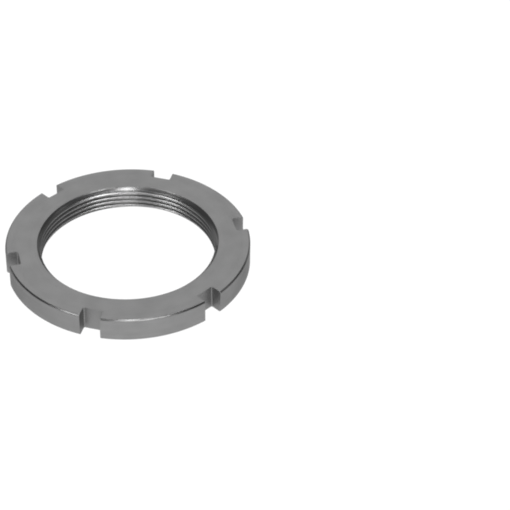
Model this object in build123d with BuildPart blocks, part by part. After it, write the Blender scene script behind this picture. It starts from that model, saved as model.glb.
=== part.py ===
from build123d import *

import os
from math import radians, tan

# Coilover lock ring. It is screwed up against the spring seat on the threaded body of a
# coilover damper and locks it there. It is one turned steel piece: a flat ring with a fine
# right-hand metric thread through its bore, a wide countersink on its upper face, and six
# square slots in the rim for a hook spanner.
# Millimetres. The origin is the middle of the lower face, +Z runs up the thread's axis, and
# the first slot opens along +X.

# Ring
outer_diameter = 72.0
ring_thickness = 7.4
rim_chamfer = 0.4  # at 45 degrees, on both outer edges

# Thread, M53 x 1.5
thread_major_diameter = 53.0
thread_pitch = 1.5
thread_flank_angle = 60.0
groove_height_at_first_slot = 1.35  # middle of the groove, where it crosses the +X axis

# Mouths of the bore, both at 45 degrees
upper_mouth_clearance = 0.2  # radially outside the thread's major diameter
lower_mouth_width = 0.6  # radially outside the thread's minor diameter

# Spanner slots
slot_count = 6
slot_width = 6.0
slot_depth = 3.75  # from the rim to the flat floor
slot_corner_radius = 0.4

# The basic profile of a metric thread. Its sharp V is cut off by a quarter of its height at
# the crest, which is the bore wall here, and by an eighth at the root.
flank_slope = tan(radians(thread_flank_angle / 2))
sharp_v_height = thread_pitch / 2 / flank_slope
groove_depth = 5 / 8 * sharp_v_height
groove_root_width = thread_pitch / 8
thread_major_radius = thread_major_diameter / 2
thread_minor_radius = thread_major_radius - groove_depth

# The threading cutter reaches halfway from the bore wall to the tip of the sharp V, so it
# runs into the open bore without touching its own next turn.
cutter_overrun = sharp_v_height / 8
cutter_width = groove_root_width + 2 * flank_slope * (groove_depth + cutter_overrun)

# The groove starts and ends over a turn outside the faces, within the stock's allowance
groove_start_height = groove_height_at_first_slot - 3 * thread_pitch
groove_rise = ring_thickness + 4 * thread_pitch
stock_allowance = 4 * thread_pitch

outer_radius = outer_diameter / 2
upper_mouth_radius = thread_major_radius + upper_mouth_clearance
lower_mouth_radius = thread_minor_radius + lower_mouth_width
inside_bore_radius = thread_minor_radius - cutter_overrun

# A slot's cutter is long enough for its two outer corners to stay outside the rim
slot_cutter_length = slot_depth + 2 * slot_corner_radius
slot_cutter_distance = outer_radius - slot_depth + slot_cutter_length / 2

with BuildPart() as lock_ring:
    # Bored bar stock, wider and longer than the ring
    with BuildSketch(Plane.XY.offset(-stock_allowance)):
        Circle(outer_radius + stock_allowance)
        Circle(thread_minor_radius, mode=Mode.SUBTRACT)
    extrude(amount=ring_thickness + 2 * stock_allowance)

    # The thread: one V-shaped groove swept along a right-hand helix
    with BuildLine() as groove_path:
        Helix(thread_pitch, groove_rise, thread_minor_radius, center=(0, 0, groove_start_height))
    groove_start = Plane(
        origin=groove_path.line @ 0, x_dir=(1, 0, 0), z_dir=groove_path.line % 0
    )
    with BuildSketch(groove_start):
        with BuildLine():
            Polyline(
                (-cutter_overrun, -cutter_width / 2),
                (groove_depth, -groove_root_width / 2),
                (groove_depth, groove_root_width / 2),
                (-cutter_overrun, cutter_width / 2),
                close=True,
            )
        make_face()
    sweep(path=groove_path.line, is_frenet=True, mode=Mode.SUBTRACT)

    # The turned outline: both faces, the chamfered rim and the two mouths of the bore
    with BuildSketch(Plane.XZ):
        with BuildLine():
            Polyline(
                (lower_mouth_radius, 0),
                (outer_radius - rim_chamfer, 0),
                (outer_radius, rim_chamfer),
                (outer_radius, ring_thickness - rim_chamfer),
                (outer_radius - rim_chamfer, ring_thickness),
                (upper_mouth_radius, ring_thickness),
                (inside_bore_radius, ring_thickness - upper_mouth_radius + inside_bore_radius),
                (inside_bore_radius, lower_mouth_radius - inside_bore_radius),
                close=True,
            )
        make_face()
    revolve(axis=Axis.Z, mode=Mode.INTERSECT)

    # Six flat-floored slots for the spanner, milled through from face to face
    with BuildSketch(Plane.XY):
        with PolarLocations(slot_cutter_distance, slot_count):
            RectangleRounded(slot_cutter_length, slot_width, slot_corner_radius)
    extrude(amount=ring_thickness, mode=Mode.SUBTRACT)

lock_ring.part.label = "lock_ring"

os.makedirs("parts", exist_ok=True)
export_step(lock_ring.part, "parts/lock_ring.step")
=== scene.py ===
from math import atan2, ceil, cos, degrees, floor, hypot, radians, sin, sqrt, tan

import bpy
from mathutils import Matrix, Vector


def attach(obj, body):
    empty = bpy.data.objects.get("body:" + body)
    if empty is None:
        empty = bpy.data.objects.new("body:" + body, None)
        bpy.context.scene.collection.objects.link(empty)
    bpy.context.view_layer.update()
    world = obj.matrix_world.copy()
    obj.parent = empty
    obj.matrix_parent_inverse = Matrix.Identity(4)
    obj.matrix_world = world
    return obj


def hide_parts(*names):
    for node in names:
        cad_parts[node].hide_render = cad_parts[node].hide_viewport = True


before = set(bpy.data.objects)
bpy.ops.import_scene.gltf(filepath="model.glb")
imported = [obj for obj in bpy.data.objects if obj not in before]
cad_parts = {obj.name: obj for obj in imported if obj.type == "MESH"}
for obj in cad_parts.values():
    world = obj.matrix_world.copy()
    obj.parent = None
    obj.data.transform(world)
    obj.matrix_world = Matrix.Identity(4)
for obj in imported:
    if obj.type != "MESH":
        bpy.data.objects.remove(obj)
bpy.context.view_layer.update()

# A coilover lock ring in bare turned steel, lying on a white table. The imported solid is
# replaced by a finer mesh of the same form, with broken edges and a rounded thread.
# Sizes are in millimetres up to the point where a mesh is made, which is in metres.
MM = 0.001

# Sizes of the solid
OUTER_RADIUS = 36.0
THICKNESS = 7.4
RIM_CHAMFER = 0.4
MAJOR_RADIUS = 26.5
PITCH = 1.5
HALF_FLANK_ANGLE = 30.0
GROOVE_HEIGHT = 1.35  # middle of the groove, where it crosses the +X axis
UPPER_MOUTH_CLEARANCE = 0.2  # outside the thread's major radius
LOWER_MOUTH_WIDTH = 0.6  # outside the thread's minor radius
SLOT_COUNT = 6
SLOT_HALF_WIDTH = 3.0
SLOT_DEPTH = 3.75
SLOT_CORNER = 0.4

# What follows from them. The thread has the basic metric profile, as in the solid.
FLANK_SLOPE = tan(radians(HALF_FLANK_ANGLE))
SHARP_V_HEIGHT = PITCH / 2 / FLANK_SLOPE
GROOVE_DEPTH = 5 / 8 * SHARP_V_HEIGHT
GROOVE_HALF_MOUTH = 3 / 8 * PITCH
GROOVE_HALF_ROOT = PITCH / 16
MINOR_RADIUS = MAJOR_RADIUS - GROOVE_DEPTH
UPPER_MOUTH_RADIUS = MAJOR_RADIUS + UPPER_MOUTH_CLEARANCE
LOWER_MOUTH_RADIUS = MINOR_RADIUS + LOWER_MOUTH_WIDTH
SLOT_FLOOR = OUTER_RADIUS - SLOT_DEPTH

# Broken edges, which the solid leaves sharp
EDGE_BREAK = 0.02  # at both faces
CONE_BREAK_SHARE = 0.7  # of that, down the 45 degree cone of a bore's mouth
CHAMFER_BREAK = 0.04  # between a chamfer and the rim
SLOT_EDGE_RADIUS = 0.10  # between a slot's wall and the rim
CREST_EDGE_BREAK = 0.05  # at the edges of the thread's crest
ROOT_ROUNDING = 0.10  # at the thread's root

# Points that round the thread, as shares. The crest's is of its break, along the groove's
# width and in depth, and so is the place where the straight flank starts. The root's is of
# its half width and of its rounding.
CREST_POINT = (0.25, 0.35)
FLANK_START = 1.6
ROOT_POINT = (0.75, 0.2)

MOUTH_OVERRUN = 0.1  # how far a mouth's line goes on inside the thread's crests
SPARE_TURNS = 2  # turns of the thread beyond each face, so that its line reaches past both
CONE_TOLERANCE = 0.01  # a wall this near a mouth's line is part of its cone

# How finely the mesh follows its curves: steps of each stretch of half a slot's sector
FLOOR_STEPS = 12
CORNER_STEPS = 5
WALL_STEPS = 2
EDGE_STEPS = 3
ARC_STEPS = 34
FACE_RINGS = 3

SECTOR = 360.0 / SLOT_COUNT

# Where each stretch of the outline ends on the bore, in degrees from the slot's middle
BORE_ANGLES = {"floor": 6.0, "corner": 6.6, "wall": 7.6, "edge": 8.0, "arc": SECTOR / 2}


def half_sector(rim_radius, inset):
    """Half of one slot and half of the rim beside it, as points for a slot along +X.

    The rim's arc is drawn in from its nominal radius by inset, which is how a broken edge
    leaves a face. The slot's floor and walls are not drawn in, so their edges on the face
    stay sharp. The list runs from the middle of the slot's floor to the middle of the arc.
    """
    points = []
    corner = (SLOT_FLOOR + SLOT_CORNER, SLOT_HALF_WIDTH - SLOT_CORNER)
    for i in range(FLOOR_STEPS):
        points.append((SLOT_FLOOR, corner[1] * i / FLOOR_STEPS))
    for i in range(CORNER_STEPS):
        turn = radians(180 - 90 * i / CORNER_STEPS)
        points.append((corner[0] + SLOT_CORNER * cos(turn), corner[1] + SLOT_CORNER * sin(turn)))
    edge_v = SLOT_HALF_WIDTH + SLOT_EDGE_RADIUS
    edge_u = sqrt((rim_radius - SLOT_EDGE_RADIUS) ** 2 - edge_v**2)
    for i in range(WALL_STEPS):
        points.append((corner[0] + (edge_u - corner[0]) * i / WALL_STEPS, SLOT_HALF_WIDTH))
    edge_angle = degrees(atan2(edge_v, edge_u))
    for i in range(EDGE_STEPS):
        turn = radians(-90 + (90 + edge_angle) * i / EDGE_STEPS)
        radius = SLOT_EDGE_RADIUS - inset * i / EDGE_STEPS
        points.append((edge_u + radius * cos(turn), edge_v + radius * sin(turn)))
    for i in range(ARC_STEPS + 1):
        turn = radians(edge_angle + (SECTOR / 2 - edge_angle) * i / ARC_STEPS)
        radius = rim_radius - inset
        points.append((radius * cos(turn), radius * sin(turn)))
    return points


def outline(rim_radius, inset):
    """The whole slotted outline, anticlockwise from the middle of the first slot's floor."""
    half = half_sector(rim_radius, inset)
    mirrored = []
    across = radians(SECTOR)
    for u, v in reversed(half[1:-1]):
        mirrored.append((u * cos(across) + v * sin(across), u * sin(across) - v * cos(across)))
    sector = half + mirrored
    points = []
    for k in range(SLOT_COUNT):
        turn = radians(SECTOR * k)
        for u, v in sector:
            points.append((u * cos(turn) - v * sin(turn), u * sin(turn) + v * cos(turn)))
    return points


def bore_angles():
    """The angle at which each point of the outline meets the bore, in degrees."""
    half = []
    start = 0.0
    counts = (FLOOR_STEPS, CORNER_STEPS, WALL_STEPS, EDGE_STEPS, ARC_STEPS)
    for (name, end), steps in zip(BORE_ANGLES.items(), counts):
        half += [start + (end - start) * i / steps for i in range(steps)]
        start = end
    half.append(SECTOR / 2)
    sector = half + [SECTOR - a for a in reversed(half[1:-1])]
    return [SECTOR * k + a for k in range(SLOT_COUNT) for a in sector]


def thread_turn():
    """One turn of the thread in section: height from the groove's middle, and depth."""
    back = CREST_EDGE_BREAK * FLANK_SLOPE
    side = [
        (GROOVE_HALF_MOUTH + CREST_EDGE_BREAK, 0.0),
        (GROOVE_HALF_MOUTH - back * CREST_POINT[0], CREST_EDGE_BREAK * CREST_POINT[1]),
        (GROOVE_HALF_MOUTH - back * FLANK_START, CREST_EDGE_BREAK * FLANK_START),
        (GROOVE_HALF_ROOT + ROOT_ROUNDING * FLANK_SLOPE, GROOVE_DEPTH - ROOT_ROUNDING),
        (GROOVE_HALF_ROOT * ROOT_POINT[0], GROOVE_DEPTH - ROOT_ROUNDING * ROOT_POINT[1]),
    ]
    below = [(-dz, depth) for dz, depth in side]
    return below + [(0.0, GROOVE_DEPTH)] + list(reversed(side))


THREAD_TURN = thread_turn()

# The bore's two mouths in section, as height and radius, each upwards
MOUTH_BREAK = EDGE_BREAK * CONE_BREAK_SHARE
LOWER_MOUTH = [
    (0.0, LOWER_MOUTH_RADIUS + EDGE_BREAK),
    (MOUTH_BREAK, LOWER_MOUTH_RADIUS - MOUTH_BREAK),
    (LOWER_MOUTH_RADIUS - MINOR_RADIUS + MOUTH_OVERRUN, MINOR_RADIUS - MOUTH_OVERRUN),
]
UPPER_MOUTH = [
    (
        THICKNESS - (UPPER_MOUTH_RADIUS - MINOR_RADIUS) - MOUTH_OVERRUN,
        MINOR_RADIUS - MOUTH_OVERRUN,
    ),
    (THICKNESS - MOUTH_BREAK, UPPER_MOUTH_RADIUS - MOUTH_BREAK),
    (THICKNESS, UPPER_MOUTH_RADIUS + EDGE_BREAK),
]


def radius_on(line, z):
    """The radius of a broken line at height z."""
    for (z0, r0), (z1, r1) in zip(line, line[1:]):
        if z0 <= z <= z1:
            return r0 + (r1 - r0) * (z - z0) / (z1 - z0)
    raise ValueError(f"no radius at {z}")


def bore_profile(angle):
    """The bore's wall at one angle, from the lower face to the upper, as (key, z, r).

    The wall is the thread where the thread is deeper and a mouth's cone where that is
    wider. The key names the point, so that neighbouring profiles can be matched.
    """
    thread = []
    first = floor(-GROOVE_HEIGHT / PITCH) - SPARE_TURNS
    last = ceil(THICKNESS / PITCH) + SPARE_TURNS
    for turn in range(first, last):
        middle = GROOVE_HEIGHT + PITCH * (turn + angle / 360)
        for i, (dz, depth) in enumerate(THREAD_TURN):
            thread.append(((turn, i), middle + dz, MINOR_RADIUS + depth))
    mouths = [(("mouth", i), z, r) for i, (z, r) in enumerate(LOWER_MOUTH + UPPER_MOUTH)]
    thread_line = [(z, r) for key, z, r in thread]
    mouth_line = [(z, r) for key, z, r in mouths]

    stops = sorted([p for p in thread if 0 < p[1] < THICKNESS] + mouths, key=lambda p: p[1])
    profile = []
    before = None
    for key, z, r in stops:
        gap = radius_on(thread_line, z) - radius_on(mouth_line, z)
        if before is not None and gap * before[1] < 0:
            share = before[1] / (before[1] - gap)
            crossing = before[0] + (z - before[0]) * share
            profile.append((("cross", before[2], key), crossing, radius_on(thread_line, crossing)))
        wins = gap >= 0 if key[0] != "mouth" else gap <= 0
        if wins:
            profile.append((key, z, r))
        elif z in (0.0, THICKNESS):
            profile.append((key, z, radius_on(thread_line, z)))
        before = (z, gap, key)
    return profile


def next_turn(key):
    """The key that a point at 0 degrees has when it is reached from 360 degrees."""
    if key[0] == "mouth":
        return key
    if key[0] == "cross":
        return ("cross", next_turn(key[1]), next_turn(key[2]))
    return (key[0] - 1, key[1])


def zip_profiles(left, right):
    """Faces between two neighbouring profiles, each a list of (key, vertex)."""
    faces = []
    left_at = {key: i for i, (key, vertex) in enumerate(left)}
    right_at = {key: j for j, (key, vertex) in enumerate(right)}
    i = j = 0
    while i < len(left) - 1 or j < len(right) - 1:
        more_left = i < len(left) - 1
        more_right = j < len(right) - 1
        if more_left and more_right and left[i + 1][0] == right[j + 1][0]:
            faces.append((left[i][1], left[i + 1][1], right[j + 1][1], right[j][1]))
            i += 1
            j += 1
            continue
        left_waits = not more_left or right_at.get(left[i + 1][0], -1) > j
        right_waits = not more_right or left_at.get(right[j + 1][0], -1) > i
        if more_left and (right_waits or not left_waits):
            faces.append((left[i][1], left[i + 1][1], right[j][1]))
            i += 1
        else:
            faces.append((left[i][1], right[j + 1][1], right[j][1]))
            j += 1
    return faces


# The outer wall's levels, from the lower face to the upper: height, rim radius, inset
LOWER_LEVELS = [
    (0.0, OUTER_RADIUS - RIM_CHAMFER, EDGE_BREAK),
    (EDGE_BREAK, OUTER_RADIUS - RIM_CHAMFER + EDGE_BREAK, 0.0),
    (RIM_CHAMFER - CHAMFER_BREAK, OUTER_RADIUS - CHAMFER_BREAK, 0.0),
    (RIM_CHAMFER + CHAMFER_BREAK, OUTER_RADIUS, 0.0),
]
LEVELS = LOWER_LEVELS + [(THICKNESS - z, rim, inset) for z, rim, inset in reversed(LOWER_LEVELS)]
HALF_STEPS = FLOOR_STEPS + CORNER_STEPS + WALL_STEPS + EDGE_STEPS


def in_slot(j, count):
    """Whether the outline's stretch from point j to the next is part of a slot."""
    per_sector = count // SLOT_COUNT
    place = j % per_sector
    return min(place, per_sector - 1 - place) < HALF_STEPS


def bore_finish(first, second):
    """The finish of a face of the bore, from two of its corners, each (z, r)."""
    z = (first[0] + second[0]) / 2
    r = (first[1] + second[1]) / 2
    mouth_line = LOWER_MOUTH + UPPER_MOUTH
    return "chamfer" if radius_on(mouth_line, z) > r - CONE_TOLERANCE else "thread"


def ring_mesh():
    """Vertices, faces and the finish of each face: the whole ring, one closed surface."""
    vertices = []
    faces = []
    finishes = []
    angles = bore_angles()
    count = len(angles)

    def add(x, y, z):
        vertices.append((x * MM, y * MM, z * MM))
        return len(vertices) - 1

    walls = []
    for z, rim, inset in LEVELS:
        walls.append([add(x, y, z) for x, y in outline(rim, inset)])
    for level, (lower, upper) in enumerate(zip(walls, walls[1:])):
        outside = "rim" if level == len(LOWER_LEVELS) - 1 else "chamfer"
        for j in range(count):
            k = (j + 1) % count
            faces.append((lower[j], lower[k], upper[k], upper[j]))
            finishes.append("slot" if in_slot(j, count) else outside)

    bore = []
    for angle in angles:
        x, y = cos(radians(angle)), sin(radians(angle))
        bore.append([(key, add(r * x, r * y, z)) for key, z, r in bore_profile(angle)])
    for j in range(count):
        right = bore[(j + 1) % count]
        if j == count - 1:
            right = [(next_turn(key), vertex) for key, vertex in right]
        for face in zip_profiles(bore[j], right):
            faces.append(face)
            corners = [vertices[vertex] for vertex in face[:2]]
            finishes.append(bore_finish(*[(z / MM, hypot(x, y) / MM) for x, y, z in corners]))

    for wall, end, upward in ((walls[0], 0, False), (walls[-1], -1, True)):
        rings = [wall]
        mouth = [profile[end][1] for profile in bore]
        for step in range(1, FACE_RINGS):
            share = step / FACE_RINGS
            ring = []
            for outer, inner in zip(wall, mouth):
                a, b = Vector(vertices[outer]), Vector(vertices[inner])
                ring.append(add(*(a.lerp(b, share) / MM)))
            rings.append(ring)
        rings.append(mouth)
        for outer, inner in zip(rings, rings[1:]):
            for j in range(count):
                k = (j + 1) % count
                quad = (outer[j], outer[k], inner[k], inner[j])
                faces.append(quad if upward else quad[::-1])
                finishes.append("face")
    return vertices, faces, finishes


# Steel. It is one bare metal in five finishes. Each has its own grey, roughness, lay of the tool
# marks, and spacing and depth of the marks in millimetres. The greys are painted light and shade:
# for one and the same steel, each finish's grey is set to how bright that surface looks, darkest
# on the chamfers and lightest on the rim and slot walls.
FINISHES_AND_SHADES = {
    "face": (0.222, 0.36, "around", 0.14, 0.0005),
    "rim": (0.258, 0.40, "around", 0.12, 0.0005),
    "chamfer": (0.155, 0.24, "around", 0.10, 0.0001),
    "slot": (0.255, 0.50, "upright", 0.14, 0.0005),
    "thread": (0.23, 0.24, "around", 0.08, 0.0001),
}
GRAZING_TINT = 0.45  # tint of the reflections at a glancing angle
STREAK_WIDTH = 0.8
STREAK_DETAIL = 2
MARK_DETAIL = 2
MOTTLE_SIZE = 5.5
MOTTLE_DETAIL = 4
UPRIGHT_STRETCH = 0.03  # how slowly upright marks change along their length
NOISE_RANGE = (0.25, 0.75)  # the noise's values that become the two ends of a spread

# How far mottling and streaks change the grey and the roughness, as shares of each
MOTTLED_GREY = (0.91, 1.09)
STREAKED_GREY = (0.95, 1.05)
MOTTLED_ROUGHNESS = (0.95, 1.05)
STREAKED_ROUGHNESS = (0.94, 1.06)

WHITE = (1, 1, 1, 1)


def plain_grey(value):
    return (value, value, value, 1)


def add_node(tree, kind, inputs=None, **settings):
    """Adds a node. An input is a value, or another node's output that is linked to it."""
    node = tree.nodes.new(kind)
    for name, value in settings.items():
        setattr(node, name, value)
    for name, value in (inputs or {}).items():
        if isinstance(value, bpy.types.NodeSocket):
            tree.links.new(value, node.inputs[name])
        else:
            node.inputs[name].default_value = value
    return node


def add_noise(tree, place, size, detail):
    """Noise whose lumps are about size millimetres across."""
    settings = {"Vector": place, "Scale": 1 / (size * MM), "Detail": detail}
    return add_node(tree, "ShaderNodeTexNoise", settings).outputs["Fac"]


def spread(tree, noise, shares, middle=1.0):
    """Noise stretched to run between two shares of a middle value."""
    limits = {
        "From Min": NOISE_RANGE[0],
        "From Max": NOISE_RANGE[1],
        "To Min": shares[0] * middle,
        "To Max": shares[1] * middle,
    }
    return add_node(tree, "ShaderNodeMapRange", {"Value": noise, **limits}).outputs["Result"]


def product(tree, first, second):
    """One value times another."""
    node = add_node(tree, "ShaderNodeMath", {0: first, 1: second}, operation="MULTIPLY")
    return node.outputs["Value"]


def across_marks(tree, place, lay, mottle):
    """A place that changes quickly across the tool marks and slowly along them."""
    if lay == "upright":
        scale = {"Vector": place, "Scale": (1, 1, UPRIGHT_STRETCH)}
        return add_node(tree, "ShaderNodeMapping", scale).outputs["Vector"]
    parts = add_node(tree, "ShaderNodeSeparateXYZ", {"Vector": place}).outputs
    flat = add_node(tree, "ShaderNodeCombineXYZ", {"X": parts["X"], "Y": parts["Y"]})
    radius = add_node(
        tree, "ShaderNodeVectorMath", {0: flat.outputs["Vector"]}, operation="LENGTH"
    ).outputs["Value"]
    drift = product(tree, mottle, STREAK_WIDTH * MM)
    lines = {"X": radius, "Y": parts["Z"], "Z": drift}
    return add_node(tree, "ShaderNodeCombineXYZ", lines).outputs["Vector"]


def steel(name):
    """Bare steel in one finish: fine tool marks, streaks along them, faint mottling, and a grey in
    which the finish's light and shade are painted.
    """
    grey, roughness, lay, spacing, depth = FINISHES_AND_SHADES[name]
    material = bpy.data.materials.new("steel_" + name)
    material.use_nodes = True
    tree = material.node_tree
    shader = tree.nodes["Principled BSDF"]
    place = add_node(tree, "ShaderNodeTexCoord").outputs["Object"]
    mottle = add_noise(tree, place, MOTTLE_SIZE, MOTTLE_DETAIL)
    across = across_marks(tree, place, lay, mottle)
    streaks = add_noise(tree, across, STREAK_WIDTH, STREAK_DETAIL)
    marks = add_noise(tree, across, spacing, MARK_DETAIL)

    # The finish's grey is painted light and shade: darker on the chamfers, lighter on the rim and
    # slot walls than on the face.
    mottled = spread(tree, mottle, MOTTLED_GREY, grey)
    streaked = spread(tree, streaks, STREAKED_GREY)
    tree.links.new(product(tree, mottled, streaked), shader.inputs["Base Color"])
    worn = spread(tree, streaks, STREAKED_ROUGHNESS, roughness)
    rubbed = spread(tree, mottle, MOTTLED_ROUGHNESS)
    tree.links.new(product(tree, worn, rubbed), shader.inputs["Roughness"])
    bump = add_node(tree, "ShaderNodeBump", {"Height": marks, "Distance": depth * MM})
    tree.links.new(bump.outputs["Normal"], shader.inputs["Normal"])
    shader.inputs["Metallic"].default_value = 1.0
    shader.inputs["Specular Tint"].default_value = plain_grey(GRAZING_TINT)
    return material


# Shading of the ring. Corners sharper than this stay crisp, and the flat faces lead the rest.
SHARP_ANGLE = 50
LARGE_FACE_WEIGHT = 100


def make_ring():
    """The ring as one object, with a material for each finish."""
    vertices, faces, finishes = ring_mesh()
    mesh = bpy.data.meshes.new("ring_body")
    mesh.from_pydata(vertices, [], faces)
    names = list(FINISHES_AND_SHADES)
    for name in names:
        mesh.materials.append(steel(name))
    mesh.polygons.foreach_set("material_index", [names.index(finish) for finish in finishes])
    mesh.update()
    mesh.shade_smooth()
    ring = bpy.data.objects.new("ring_body", mesh)
    bpy.context.scene.collection.objects.link(ring)
    mesh.set_sharp_from_angle(angle=radians(SHARP_ANGLE))
    weighted = ring.modifiers.new("face_weighted_shading", "WEIGHTED_NORMAL")
    weighted.weight = LARGE_FACE_WEIGHT
    weighted.keep_sharp = True
    return ring


ring = make_ring()
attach(ring, "root")
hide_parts("lock_ring")

# Table, a wide disc that glows white, so that the ring throws no shadow on it. It is clear
# when it is looked at from underneath, which leaves the ring's lower face in sight.
TABLE_RADIUS = 20  # metres
TABLE_CORNERS = 64
TABLE_GREY = 0.05
TABLE_ROUGHNESS = 0.9
TABLE_GLOW = 1.0
TABLE_DROP = 0.02  # keeps it from coinciding with the ring's lower face


def table_top():
    """The table's material: white and glowing from above, clear from underneath."""
    material = bpy.data.materials.new("table_top")
    material.use_nodes = True
    tree = material.node_tree
    shader = tree.nodes["Principled BSDF"]
    underneath = add_node(tree, "ShaderNodeNewGeometry").outputs["Backfacing"]
    clear = add_node(tree, "ShaderNodeBsdfTransparent").outputs["BSDF"]
    sides = {0: underneath, 1: shader.outputs["BSDF"], 2: clear}
    mixed = add_node(tree, "ShaderNodeMixShader", sides).outputs["Shader"]
    tree.links.new(mixed, tree.nodes["Material Output"].inputs["Surface"])
    shader.inputs["Base Color"].default_value = plain_grey(TABLE_GREY)
    shader.inputs["Roughness"].default_value = TABLE_ROUGHNESS
    shader.inputs["Specular IOR Level"].default_value = 0.0
    shader.inputs["Emission Color"].default_value = WHITE
    shader.inputs["Emission Strength"].default_value = TABLE_GLOW
    material.cycles.emission_sampling = "NONE"  # it is all around, so rays find it by themselves
    return material


def make_table():
    bpy.ops.mesh.primitive_circle_add(
        vertices=TABLE_CORNERS, radius=TABLE_RADIUS, fill_type="NGON"
    )
    table = bpy.context.object
    table.name = "table"
    table.location.z = -TABLE_DROP * MM
    table.data.materials.append(table_top())


# Camera, at the photograph's angle. The lens is long and looks a little to the right of the
# ring, which therefore stands left of the frame's middle.
FRAME_PIXELS = 510
RING_PIXEL = (128.43, 250.70)
CAMERA_AZIMUTH = -11.063
CAMERA_ELEVATION = 38.61
CAMERA_ROLL = -1.952
CAMERA_DISTANCE = 582.6
FOCAL_PIXELS = 1967.1
SENSOR_WIDTH = 36.0
CLIP_START = 0.01  # metres

TARGET = Vector((0, 0, THICKNESS / 2))


def towards(azimuth, elevation):
    """The unit vector from the ring to something seen from it, by camera-style angles.

    At azimuth 0 and elevation 0 it points along -Y, back to a camera that looks along +Y.
    """
    a, e = radians(azimuth), radians(elevation)
    return Vector((sin(a) * cos(e), -cos(a) * cos(e), sin(e)))


def make_camera():
    """The camera, turned so that the ring's middle falls on RING_PIXEL."""
    camera = bpy.data.objects.new("camera", bpy.data.cameras.new("camera"))
    bpy.context.scene.collection.objects.link(camera)
    camera.data.sensor_width = SENSOR_WIDTH
    camera.data.lens = FOCAL_PIXELS * SENSOR_WIDTH / FRAME_PIXELS
    camera.data.clip_start = CLIP_START
    back = towards(CAMERA_AZIMUTH, CAMERA_ELEVATION)
    aimed = back.to_track_quat("Z", "Y").to_matrix()
    roll = Matrix.Rotation(radians(CAMERA_ROLL), 3, "Z")
    middle = FRAME_PIXELS / 2
    ring_ray = Vector(
        (RING_PIXEL[0] - middle, middle - RING_PIXEL[1], -FOCAL_PIXELS)
    ).normalized()
    turned = ring_ray.rotation_difference(Vector((0, 0, -1))).to_matrix()
    camera.matrix_world = Matrix.LocRotScale(
        (TARGET + back * CAMERA_DISTANCE) * MM, (aimed @ roll @ turned).to_quaternion(), None
    )
    bpy.context.scene.camera = camera


make_camera()


# Soft light. All boxes stand at one distance, in metres.
LIGHT_DISTANCE = 1.5
WATTS_PER_AREA = 4  # an area lamp's watts a square metre at brightness 1

# Each box has its azimuth from the camera, positive to the camera's right, its elevation, its
# width and height as the ring sees them, all in degrees, and its brightness, where 1 is white.
SOFTBOXES = {
    "back": (180, 32, 50, 66, 0.8),
    "back_low_left": (-137, 7, 40, 16, 0.65),
    "back_low_right": (137, 7, 40, 16, 0.35),
    "key": (0, 60, 9, 22, 9.3),
    "front_high": (0, 36, 24, 22, 1.9),
    "front_low": (0, 12, 24, 22, 4.6),
    "right_front": (25, 42, 22, 12, 5.6),
    "left_front": (-51, 37, 26, 14, 5.0),
    "right": (91, 31, 16, 20, 0.35),
    "overhead_right": (80, 75, 17, 15, 7.4),
    "overhead_left": (-97, 67, 14, 14, 5.6),
    "overhead": (-60, 82, 20, 20, 1.3),
}


def softbox(name, azimuth, elevation, width, height, brightness):
    """A flat soft light that faces the ring."""
    light = bpy.data.lights.new(name, "AREA")
    light.shape = "RECTANGLE"
    light.size = 2 * LIGHT_DISTANCE * tan(radians(width / 2))
    light.size_y = 2 * LIGHT_DISTANCE * tan(radians(height / 2))
    light.energy = brightness * WATTS_PER_AREA * light.size * light.size_y
    lamp = bpy.data.objects.new(name, light)
    away = towards(CAMERA_AZIMUTH + azimuth, elevation)
    lamp.location = away * LIGHT_DISTANCE
    lamp.rotation_euler = away.to_track_quat("Z", "Y").to_euler()
    lamp.visible_camera = False
    bpy.context.scene.collection.objects.link(lamp)


for box, facts in SOFTBOXES.items():
    softbox(box, *facts)

make_table()

# Room
ROOM_LIGHT = 0.2


def studio():
    """The room: dim where the ring reflects it, and white behind the table in a picture."""
    world = bpy.data.worlds.new("studio")
    world.use_nodes = True
    background = world.node_tree.nodes["Background"]
    seen = add_node(world.node_tree, "ShaderNodeLightPath").outputs["Is Camera Ray"]
    brighter = {0: seen, 1: 1 - ROOM_LIGHT, 2: ROOM_LIGHT}
    strength = add_node(world.node_tree, "ShaderNodeMath", brighter, operation="MULTIPLY_ADD")
    world.node_tree.links.new(strength.outputs["Value"], background.inputs["Strength"])
    background.inputs["Color"].default_value = WHITE
    world.cycles.sampling_method = "NONE"  # the room is all around too, so rays find it
    bpy.context.scene.world = world


studio()

# Picture. The filter makes edges as soft as a photograph's own. The denoiser works from
# colour alone, because normals seen in a mirror-like surface would leave the thread grainy.
FILTER_PIXELS = 2.0
bpy.context.scene.view_settings.view_transform = "Standard"
bpy.context.scene.cycles.filter_width = FILTER_PIXELS
bpy.context.scene.cycles.denoising_input_passes = "RGB"
